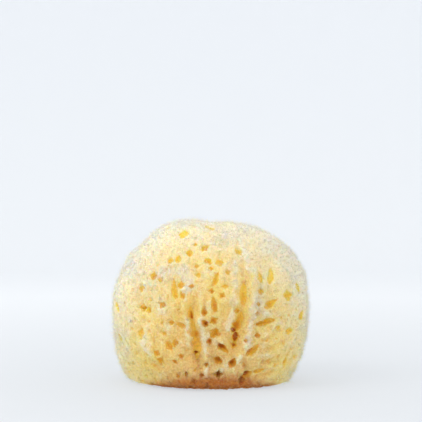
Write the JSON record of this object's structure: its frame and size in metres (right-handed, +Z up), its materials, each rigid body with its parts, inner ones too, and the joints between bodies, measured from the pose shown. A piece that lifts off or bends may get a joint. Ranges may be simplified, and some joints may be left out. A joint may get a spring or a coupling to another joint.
{
  "type": "sea sponge",
  "caption": "Natural bath sponge: a domed, lumpy body of pale springy fibre, pierced by canals and cut off flat underneath, where it rests.",
  "frame": {"origin": "middle of the sponge's outer box in plan, on the plane of the flat cut that it rests on", "axes": "+Z up out of the cut, through the crown; +X to the right along the width as the picture shows it; -Y towards the viewer, the side with the furrows and slots"},
  "size_m": [0.125, 0.1119, 0.102],
  "materials": {
    "spongin": "matte"
  },
  "bodies": {
    "root": {"sponge": "spongin"}
  },
  "joints": []
}
